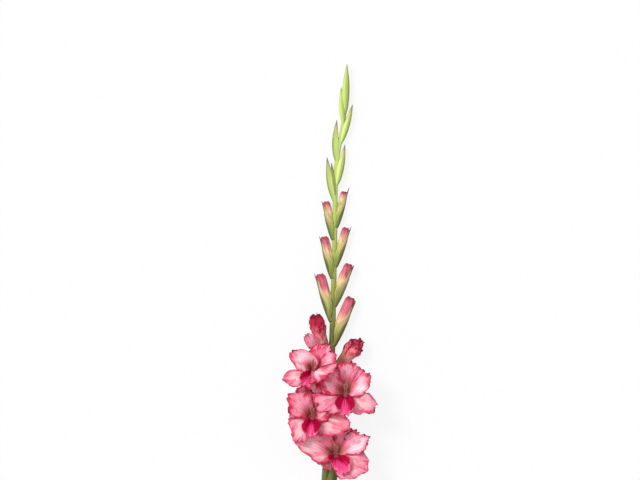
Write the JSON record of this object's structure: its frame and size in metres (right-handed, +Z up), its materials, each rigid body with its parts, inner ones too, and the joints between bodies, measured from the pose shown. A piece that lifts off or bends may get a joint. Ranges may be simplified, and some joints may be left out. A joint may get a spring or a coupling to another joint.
{
  "type": "gladiolus flower",
  "caption": "Cut gladiolus flower spike lying flat: a straight stem with open ruffled pink flowers with crimson lips, opening buds and green buds up to the tip.",
  "frame": {"origin": "on the table, under the middle of the lying spike's bounding box", "axes": "+Y along the stem from the cut end to the tip, +Z up from the table towards the open flowers' faces, +X across the spike, to the right as seen from above with the tip pointing away"},
  "size_m": [0.1308, 0.8503, 0.0769],
  "materials": {
    "stem": "semi-matt green skin, olive near the cut and yellow-green near the tip, with fine lengthwise ribs",
    "bract": "matt olive-green leafy sheath with lengthwise veins, a thin pale margin and a dry brown point",
    "flower_tube": "soft green fading to pink where it opens",
    "stamens": "pale filaments with mauve-grey pollen sacs",
    "petal": "soft satin petal, pale pink to salmon, with fan veins and a thin dark crimson ruffled rim",
    "lip": "deep crimson petal with a brighter magenta-pink middle",
    "opening_petals": "furled crimson petals with darker rims",
    "bud_petals": "folded salmon-pink petal tips",
    "green_bud": "fresh yellow-green bud scales with purplish-brown points"
  },
  "bodies": {
    "root": {"floret_1_bract": "bract", "floret_1_dorsal_tepal": "petal", "floret_1_lip_tepal": "lip", "floret_1_lower_left_tepal": "petal", "floret_1_lower_right_tepal": "petal", "floret_1_stamens": "stamens", "floret_1_tube": "flower_tube", "floret_1_upper_left_tepal": "petal", "floret_1_upper_right_tepal": "petal", "floret_2_bract": "bract", "floret_2_dorsal_tepal": "petal", "floret_2_lip_tepal": "lip", "floret_2_lower_left_tepal": "petal", "floret_2_lower_right_tepal": "petal", "floret_2_stamens": "stamens", "floret_2_tube": "flower_tube", "floret_2_upper_left_tepal": "petal", "floret_2_upper_right_tepal": "petal", "floret_3_bract": "bract", "floret_3_dorsal_tepal": "petal", "floret_3_lip_tepal": "lip", "floret_3_lower_left_tepal": "petal", "floret_3_lower_right_tepal": "petal", "floret_3_stamens": "stamens", "floret_3_tube": "flower_tube", "floret_3_upper_left_tepal": "petal", "floret_3_upper_right_tepal": "petal", "floret_4_bract": "bract", "floret_4_dorsal_tepal": "petal", "floret_4_lip_tepal": "lip", "floret_4_lower_left_tepal": "petal", "floret_4_lower_right_tepal": "petal", "floret_4_stamens": "stamens", "floret_4_tube": "flower_tube", "floret_4_upper_left_tepal": "petal", "floret_4_upper_right_tepal": "petal", "green_bud_1": "green_bud", "green_bud_2": "green_bud", "green_bud_3": "green_bud", "green_bud_4": "green_bud", "opening_bud_1_bract": "bract", "opening_bud_1_corolla": "opening_petals", "opening_bud_2_bract": "bract", "opening_bud_2_corolla": "opening_petals", "stem": "stem", "tip_buds": "green_bud", "tipped_bud_1_bract": "bract", "tipped_bud_1_petals": "bud_petals", "tipped_bud_2_bract": "bract", "tipped_bud_2_petals": "bud_petals", "tipped_bud_3_bract": "bract", "tipped_bud_3_petals": "bud_petals", "tipped_bud_4_bract": "bract", "tipped_bud_4_petals": "bud_petals", "tipped_bud_5_bract": "bract", "tipped_bud_5_petals": "bud_petals", "tipped_bud_6_bract": "bract", "tipped_bud_6_petals": "bud_petals", "tipped_bud_7_bract": "bract", "tipped_bud_7_petals": "bud_petals"}
  },
  "joints": []
}
